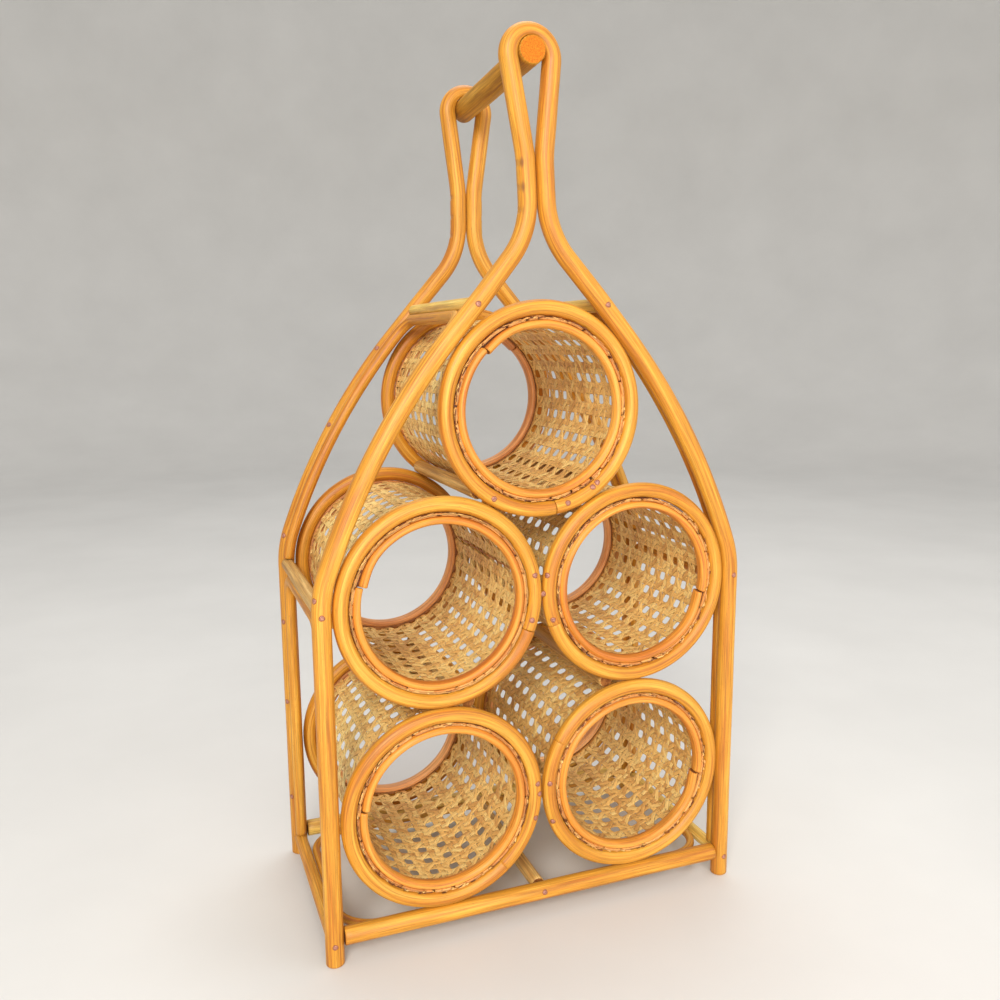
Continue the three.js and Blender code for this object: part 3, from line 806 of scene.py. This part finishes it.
class Ribbons:
    """Flat strands laid on a tube, gathered into one mesh."""

    def __init__(self, tube, seed):
        self.x, self.z = TUBES[tube]
        self.random = np.random.default_rng(seed)
        self.faces, self.parts = [], []
        self.count = 0

    def lay(self, angle, depth, lift, width, thickness=STRAND_THICKNESS, tint=None, roll=0.0):
        """A strand whose middle passes through angle and depth, lifted off the webbing's middle."""
        given = np.broadcast_arrays(angle, depth, lift, width, thickness)
        angle, depth, lift, width, thickness = (np.asarray(values, float) for values in given)
        outward = np.stack([np.cos(angle), np.zeros_like(angle), np.sin(angle)], axis=1)
        middle = outward * (WEBBING_MIDDLE + lift)[:, None] + np.outer(depth, DEPTH) + [self.x, 0, self.z]
        sideways = unit(np.cross(unit(np.gradient(middle, axis=0)), outward))
        across = sideways * np.cos(roll) + outward * np.sin(roll)
        over = outward * np.cos(roll) - sideways * np.sin(roll)
        width, thickness = width[:, None, None], thickness[:, None, None]
        ring = (middle[:, None, :] + across[:, None, :] * SECTION[None, :, :1] * width
                + over[:, None, :] * SECTION[None, :, 1:] * thickness)
        rows, sides = ring.shape[:2]
        grid = self.count + np.arange(rows * sides).reshape(rows, sides)
        self.faces += band(grid)
        self.faces += [grid[0].tolist(), grid[-1, ::-1].tolist()]
        travel = np.repeat(distances_along(middle) + self.random.random() * GRAIN_SPREAD, sides)
        section = (SECTION[None] * [1.0, GRAIN_FLATNESS] * width).reshape(-1, 2)
        tone = self.random.random() if tint is None else tint
        # The last part grows towards a strand's sides, where the strand material paints shade
        self.parts.append((ring.reshape(-1, 3), np.concatenate([section, travel[:, None]], axis=1),
                           np.full(grid.size, tone), np.tile(2 * np.abs(SECTION[:, 0]), rows)))
        self.count += grid.size

    def askew(self, middle, low, high, slope):
        """A value for each point of a short piece, which slopes either way."""
        middle = middle + self.random.uniform(low, high)
        return middle + slope * SHARE * self.random.uniform(-1, 1)

    def settle(self, name, material, *nodes):
        vertices, grain, tint, edge = (np.concatenate(part) for part in zip(*self.parts))
        piece = make_mesh(name, vertices, self.faces, [material], grain=grain, tint=tint, edge=edge)
        settle(piece, "cane_webbing", *nodes)


class Sheet(Ribbons):
    """Six-way caning rolled up once, a little over its own start. Pairs along and round the tube are
    woven together, and a diagonal each way goes over one set of pairs and under the other, which
    leaves eight-sided holes."""

    def __init__(self, tube, seed):
        super().__init__(tube, seed)
        self.seam, self.pitch, self.phase, self.shift = SHEETS[tube]
        self.last = self.seam - 360 - LAP_ANGLE
        self.offset = math.degrees(PAIR_OFFSET / WEBBING_MIDDLE)
        first = math.ceil((self.last - self.phase) / self.pitch - 0.5)
        count = math.floor((self.seam - self.phase) / self.pitch - 0.5) - first + 1
        self.columns = self.phase + (first + 0.5 + np.arange(count)) * self.pitch
        reach = int(HALF / ROW_PITCH) + 2
        self.rows = self.shift + (np.arange(-reach, reach) + 0.5) * ROW_PITCH

    def roll_lift(self, angle, depth):
        """The start of the sheet lies inside its end, and is squeezed where the rings hold it."""
        turned = np.clip((self.seam - angle - LAP_ANGLE) / LAP_EASE, 0, 1)
        curl = LAP_CURL * np.clip(1 - (self.seam - angle) / CURL_ANGLE, 0, CURL_MOST) ** 2
        squeezed = np.clip((np.abs(depth) - HALF + SQUEEZE_PLACE) / SQUEEZE_EASE, 0, 1)
        inside = LAP_LIFT * (1 - turned ** 2 * (3 - 2 * turned))
        drawn = RING_DRAW * np.exp(-((np.abs(depth) - RING_DRAW_PLACE) / RING_DRAW_REACH) ** 2)
        return -(inside * (1 - SQUEEZE_SHARE * squeezed) + curl * (1 - squeezed) + drawn)

    def lay_cut(self, angle, depth, wave, width):
        """A strand cut off at the sheet's four edges; angle is in degrees."""
        low, high = (end + self.random.uniform(*FRAY) for end in (self.last, self.seam))
        near, far = (side * (HALF + WEBBING_OVERRUN + self.random.uniform(*TRIM)) for side in (-1, 1))
        fine, given = (np.linspace(0, 1, steps * len(depth)) for steps in (FINE_STEPS, 1))
        path = np.stack([np.interp(fine, given, values) for values in (angle, depth, wave)])
        path = path[:, (path[0] > low) & (path[0] < high) & (path[1] > near) & (path[1] < far)]
        count = path.shape[1]
        if count < FEWEST_POINTS:
            return
        angle, depth, wave = path[:, np.unique([*range(0, count, THINNED), count - 1])]
        self.lay(np.radians(angle), depth, wave + self.roll_lift(angle, depth), width)

    def across(self, pairs, offset, lift):
        """A strand's points along the pairs it crosses, and its lifts over one and under the other."""
        points = np.concatenate([pair + offset * CROSSINGS for pair in pairs])
        return points, np.tile([lift, 0, -lift, 0], len(pairs))

    def stray(self, along, size, lengths):
        """A wobble of its own for one strand."""
        return size * wander(along, int(self.random.integers(1e6)), lengths)

    def weave(self):
        crossing = STRAND_THICKNESS / 2
        for column in self.columns:
            for place in (-1, 1):
                depth, wave = self.across(self.rows, PAIR_OFFSET, place * crossing)
                angle = column + place * self.offset + self.random.normal(0, COLUMN_SHIFT)
                angle = angle + self.stray(depth, size=0.12, lengths=(83.0, 37.0))
                self.lay_cut(angle, depth, wave, STRAND_WIDTH)
        for row in self.rows:
            for place in (-1, 1):
                angle, wave = self.across(self.columns, self.offset, -place * crossing)
                angle = np.concatenate([[self.last - ROW_OVERRUN], angle, [self.seam + ROW_OVERRUN]])
                depth = row + place * PAIR_OFFSET + self.stray(angle, size=0.1, lengths=(150.0, 70.0))
                self.lay_cut(angle, depth, np.pad(wave, 1), STRAND_WIDTH)
        reach = len(self.rows) // 2 + 1
        steps = np.arange(-DIAGONAL_STEPS * reach, DIAGONAL_STEPS * reach + 1) / DIAGONAL_STEPS
        depth = self.shift + steps * ROW_PITCH
        wave = STRAND_THICKNESS * np.cos(2 * math.pi * steps)
        past = reach * self.pitch
        for slope in (-1, 1):
            for start in np.arange(self.columns[0] - past, self.columns[-1] + past, self.pitch):
                self.lay_cut(start + slope * steps * self.pitch, depth, slope * wave, DIAGONAL_WIDTH)
        return self


# The dark splinters paint shade in the cracks; the pale ones are torn webbing
SHADE_SPLINTERS = 60
PALE_SPLINTERS = 70
SPLINTER_TAPER = 0.6
FOLD_DEPTH = 1.0
FOLD_LIFT = -0.75
FOLD_THICKNESS = 3.0
SEAM_SHADOW_INSET = 4
SEAM_SHADOW_ANGLE = 1.3
SEAM_SHADOW_STRAY = 0.5
EDGE_DEPTH = 0.35
EDGE_LIFT = -0.62
EDGE_WIDTH = 4.6
EDGE_TAPER = 0.9


def splinters(ribbons, side, count):
    """Short loose slivers standing out of the crack between the outer and the inner ring."""
    random = ribbons.random
    for _ in range(count):
        length = random.uniform(0.03, 0.11)
        angle = random.uniform(0, FULL_TURN) + length / 2 * SHARE
        depth = ribbons.askew(HALF, low=1.6, high=2.8, slope=0.5)
        lift = ribbons.askew(0, low=-0.3, high=0.65, slope=0.3)
        width = random.uniform(0.5, 1.1) * (1 - SPLINTER_TAPER * SHARE ** 4)
        ribbons.lay(angle, side * depth, lift, width, thickness=0.35, tint=random.random(),
                    roll=random.uniform(-0.9, 0.9))


def shade_fold(ribbons, tube, side, tint=None):
    """A strip of painted shade deep between the outer and the inner ring, which reaches in to the inner ring
    where its end stands off the webbing. In front it is laid in the dark crack strands, behind in the
    torn strands at their darkest tone."""
    joint, (outward, inward) = inner_joint(tube, side)
    angle = np.linspace(0, FULL_TURN, 361)
    travelled = np.mod(angle - math.radians(joint), FULL_TURN) * INNER_RING_PATH
    left = FULL_TURN * INNER_RING_PATH - travelled
    reach = max(-outward, 0) * near_joint(travelled) + inward * near_joint(left)
    ribbons.lay(angle, side * (HALF - FOLD_DEPTH), FOLD_LIFT - reach / 2, width=2.0,
                thickness=FOLD_THICKNESS + reach, tint=tint)


def edge_shade(tube, seed):
    """Painted shade in the crack: the dark strip in front, and dark splinters at both ends."""
    ribbons = Ribbons(tube, seed)
    shade_fold(ribbons, tube, -1)
    for side in (-1, 1):
        splinters(ribbons, side, SHADE_SPLINTERS)
    return ribbons


def torn_edge(ribbons, side):
    """The webbing's trimmed edge, in ragged lengths against the inner ring."""
    random = ribbons.random
    place = 0.0
    while place < FULL_TURN:
        length = random.uniform(0.07, 0.34)
        angle = place + length / 2 * (1 + SHARE)
        depth = ribbons.askew(HALF + EDGE_DEPTH, low=-0.4, high=0.35, slope=0.15)
        lift = ribbons.askew(EDGE_LIFT, low=-0.12, high=0.2, slope=0.12)
        ribbons.lay(angle, side * depth, lift, EDGE_WIDTH - EDGE_TAPER * SHARE ** 8, thickness=1.25,
                    tint=random.uniform(0.2, 0.9), roll=random.uniform(-0.06, 0.06))
        gap = random.uniform(-0.01, 0.05)
        place += length + gap


def tear(tube, seed):
    """A dark line painted as the shadow beside the lap's end, the strip of painted shade behind, the trimmed
    edges and loose splinters.
    """
    ribbons = Ribbons(tube, seed)
    depth = np.linspace(SEAM_SHADOW_INSET - HALF, HALF - SEAM_SHADOW_INSET, 40)
    seam = np.radians(SHEETS[tube][0] + SEAM_SHADOW_ANGLE + SEAM_SHADOW_STRAY * wander(depth, seed, (23.0, 11.0, 7.0)))
    # Painted shadow: a dark line in the gap beside the lap's end, in the torn strands' darkest tone
    ribbons.lay(seam, depth, EDGE_LIFT, width=1.2, thickness=0.2, tint=0.0)
    shade_fold(ribbons, tube, 1, tint=0.0)
    for side in (-1, 1):
        torn_edge(ribbons, side)
        splinters(ribbons, side, PALE_SPLINTERS)
    return ribbons


WEAVE_SEED, TEAR_SEED, SHADE_SEED = 500, 600, 700
for number, tube in enumerate(TUBES):
    Sheet(tube, WEAVE_SEED + number).weave().settle(f"{tube}_woven_webbing", STRAND, f"{tube}_webbing")
    tear(tube, TEAR_SEED + number).settle(f"{tube}_torn_ends", TORN)
    edge_shade(tube, SHADE_SEED + number).settle(f"{tube}_edge_shade", CRACK_SHADE)


# Nails

NAIL_SIZE = 1.3
NAIL_SIDES = 18
# From the stained rim to the top: how far out each ring of points lies, and how high
NAIL_RINGS = ((1.32, 0.03), (1.0, 0.1), (0.9, 0.24), (0.5, 0.38))
NAIL_HEIGHT = 0.4
NAIL_WOBBLE = 0.06
NAIL_REACH = 0.85
FLAT_RADIUS = 1000


class Nails:
    """Small domed heads driven into canes, each with a stained rim that follows the cane."""

    def __init__(self):
        self.vertices, self.faces, self.index, self.grain = [], [], [], []
        self.random = np.random.default_rng(77)

    def drive(self, surface, normal, tangent, radius):
        normal, tangent = unit(np.array(normal, float)), unit(np.array(tangent, float))
        across = np.cross(tangent, normal)
        first = len(self.vertices)
        turn = self.random.random() * 6
        spots = []
        for share, lift in NAIL_RINGS:
            for step in range(NAIL_SIDES):
                angle = turn + FULL_TURN * step / NAIL_SIDES
                reach = NAIL_SIZE * share * (1 + NAIL_WOBBLE * math.sin(3 * angle + turn))
                along, over = reach * math.cos(angle), reach * math.sin(angle)
                drop = math.sqrt(max(0.0, radius ** 2 - over ** 2)) - radius
                spots.append(surface + along * tangent + over * across + (drop + lift) * normal)
        spots.append(surface + NAIL_HEIGHT * normal)
        self.vertices += spots
        top = len(self.vertices) - 1
        for row in range(first, top, NAIL_SIDES):
            for step in range(NAIL_SIDES):
                a, b = row + step, row + (step + 1) % NAIL_SIDES
                inner = (top,) if row + NAIL_SIDES == top else (b + NAIL_SIDES, a + NAIL_SIDES)
                self.faces.append((a, b, *inner))
                self.index.append(row == first)
        self.grain += list(spots + self.random.random(3) * 50)

    def on_ring(self, tube, x, z, front=-1):
        """A nail in the face of a tube's outer ring, near the point x, z."""
        centre = np.array(TUBES[tube], float)
        ray = np.array([x, z], float) - centre
        distance = np.linalg.norm(ray)
        ray = ray / distance
        radius = OUTER_RING_CANE / 2
        most = radius * NAIL_REACH
        offset = min(max(distance - OUTER_RING_PATH, -most), most)
        height = math.sqrt(radius ** 2 - offset ** 2)
        normal = np.array([ray[0] * offset, front * height, ray[1] * offset]) / radius
        path = centre + ray * OUTER_RING_PATH
        surface = np.array([path[0], front * HALF, path[1]]) + normal * radius
        self.drive(surface, normal, (-ray[1], 0, ray[0]), radius)

    def on_cane(self, middle, tangent, normal, diameter):
        normal = unit(np.array(normal, float))
        self.drive(np.array(middle, float) + normal * diameter / 2, normal, tangent, diameter / 2)

    def on_pole(self, distance, front, side, normal=None):
        """A nail at a distance along a pole, which looks straight out unless a direction is given."""
        x, z, heading = WALK.at(distance)
        self.on_cane((side * x, front * HALF, z), (-side * math.sin(heading), 0, math.cos(heading)),
                     normal or (POLE_NAIL_TILT * side, front, 0), FRAME_CANE)


nails = Nails()
BACK_NAIL_INSET = 0.98
BACK_NAIL_RISE = 1.5
POLE_NAIL_TILT = 0.1
RING_NAILS = {
    "top": ((-30.3, 261.9), (14.7, 256.6), (30.5, 264.8), (33.3, 267.3)),
    "middle_left": ((-5.8, 216), (-7.7, 189.6)),
    "middle_right": ((2.3, 214.9), (5.5, 188.3)),
    "bottom_left": ((-4.1, 88.3), (-2.8, 81.7), (-5.4, 66.8)),
    "bottom_right": ((3.7, 86.9), (5.7, 62.0)),
}
for tube, spots in RING_NAILS.items():
    for x, z in spots:
        nails.on_ring(tube, x, z)
        nails.on_ring(tube, x * BACK_NAIL_INSET, z + BACK_NAIL_RISE, 1)

# Heights of the nails in the poles, front or back and left or right: foot and middle spacer, and on the
# back poles the braces' nails, which are driven in from outside
FOOT_NAIL = 13.4
SIDE_NAIL = 213.9
POLE_NAILS = {
    (-1, -1): (FOOT_NAIL, 204.8, SIDE_NAIL),
    (-1, 1): (FOOT_NAIL, 203.4),
    (1, -1): (FOOT_NAIL, 42.6, 110.8, 166.3, 223.1, 293.1, 341.5),
    (1, 1): (FOOT_NAIL, 58.0, 130.2, 178.4, 236.5, 301.6),
}
for (front, side), heights in POLE_NAILS.items():
    for height in heights:
        distance = WALK.distance_at_height(height)
        heading = WALK.at(distance)[2]
        normal = None
        if front > 0 and height > FOOT_NAIL:
            normal = (side * math.cos(heading), -0.7, math.sin(heading))
        elif height == SIDE_NAIL:
            normal = (side, front * 0.6, 0)
        nails.on_pole(distance, front, side, normal)
for front in (-1, 1):
    for side in (-1, 1):
        nails.on_pole(UPPER_AT, front, side)
    nails.on_cane((0.1, front * HALF, RAIL_HEIGHT), (1, 0, 0), normal=(0, front, 0.3), diameter=RAIL_CANE)
x, z, heading = WALK.at(UPPER_AT - UPPER_SPACER_CANE)
nails.on_cane((-x, -LEG_OFFSET, z), (math.sin(heading), 0, math.cos(heading)), normal=(-0.5, -0.6, 0.6),
              diameter=BRACE_CANE)
# One nail bridges the gap between the outer rings of the two middle tubes
between = math.sqrt((OUTER_RING_CANE / 2) ** 2 - (OUTER_RING_CANE / 2 + SEAT_GAP / 2 - NAIL_SIZE) ** 2)
nails.drive(np.array([0, -HALF - between, MIDDLE_HEIGHT]), (0, -1, 0), (0, 0, 1), FLAT_RADIUS)
settle(make_mesh("nail_heads", nails.vertices, nails.faces, [NAIL, STAIN], nails.index, grain=nails.grain),
       "nail_steel")


# Stage, light, camera

STAGE_FLAT = 2000
STAGE_BEND = 1100
STAGE_WALL = 1600
STAGE_SIDES = 96
STAGE_BEND_STEPS = 24


def stage():
    """A flat round floor that bends up into a wall all round, so that no horizon shows."""
    profile = [(0.0, 0.0), (STAGE_FLAT / 2, 0.0), (STAGE_FLAT, 0.0)]
    for angle in np.linspace(0, math.pi / 2, STAGE_BEND_STEPS + 1)[1:]:
        profile.append((STAGE_FLAT + STAGE_BEND * math.sin(angle), STAGE_BEND * (1 - math.cos(angle))))
    profile.append((STAGE_FLAT + STAGE_BEND, STAGE_BEND + STAGE_WALL))
    turn = FULL_TURN * np.arange(STAGE_SIDES) / STAGE_SIDES
    vertices = [(0.0, 0.0, 0.0)]
    for reach, height in profile[1:]:
        vertices += [(reach * math.cos(t), reach * math.sin(t), height) for t in turn]
    grid = 1 + np.arange((len(profile) - 1) * STAGE_SIDES).reshape(-1, STAGE_SIDES)
    faces = [(0, int(a), int(b)) for a, b in zip(grid[0], np.roll(grid[0], -1))] + band(grid)
    return make_mesh("floor", vertices, faces, [floor_material()])


floor = stage()


def area_light(name, place, aim, size, energy, colour=(1, 1, 1)):
    """A square light that looks at a height on the middle line."""
    data = bpy.data.lights.new(name, "AREA")
    data.size = size
    data.energy = energy
    data.color = colour
    light = add_object(name, data)
    light.location = place
    light.rotation_euler = (Vector((0, 0, aim)) - Vector(place)).to_track_quat("-Z", "Y").to_euler()


area_light("key", (-0.85, -1.45, 1.15), aim=0.22, size=0.6, energy=26, colour=(1.0, 0.97, 0.92))
area_light("front", (-0.1, -1.5, 0.45), aim=0.22, size=0.8, energy=12, colour=(1.0, 0.97, 0.93))
area_light("fill", (1.4, -0.9, 0.9), aim=0.25, size=1.2, energy=6)
area_light("top", (0.2, 0.5, 1.9), aim=0.3, size=1.0, energy=12)
WORLD_LIGHT = {"Color": (0.9, 0.91, 0.93, 1), "Strength": 0.7}
world = bpy.data.worlds.new("studio")
world.use_nodes = True
for socket, value in WORLD_LIGHT.items():
    world.node_tree.nodes["Background"].inputs[socket].default_value = value
bpy.context.scene.world = world
bpy.context.scene.view_settings.view_transform = "Standard"

CAMERA_PLACE = Vector((-0.2071, -0.5456, 0.3483))
CAMERA_YAW, CAMERA_PITCH, CAMERA_ROLL = 0.361083, 0.169248, -0.008036
FOCAL_PIXELS = 933.185
FRAME_PIXELS = 1000
SENSOR_WIDTH = 36
forward = Vector((math.sin(CAMERA_YAW) * math.cos(CAMERA_PITCH),
                  math.cos(CAMERA_YAW) * math.cos(CAMERA_PITCH), -math.sin(CAMERA_PITCH)))
level = Vector((math.cos(CAMERA_YAW), -math.sin(CAMERA_YAW), 0))
above = level.cross(forward)
right = math.cos(CAMERA_ROLL) * level + math.sin(CAMERA_ROLL) * above
above = -math.sin(CAMERA_ROLL) * level + math.cos(CAMERA_ROLL) * above
camera_data = bpy.data.cameras.new("camera")
camera_data.sensor_width = SENSOR_WIDTH
camera_data.lens = FOCAL_PIXELS / FRAME_PIXELS * SENSOR_WIDTH
camera_data.clip_start = 0.01
camera = add_object("camera", camera_data)
turned = Matrix((right, above, -forward)).transposed().to_4x4()
camera.matrix_world = Matrix.Translation(CAMERA_PLACE) @ turned
bpy.context.scene.camera = camera
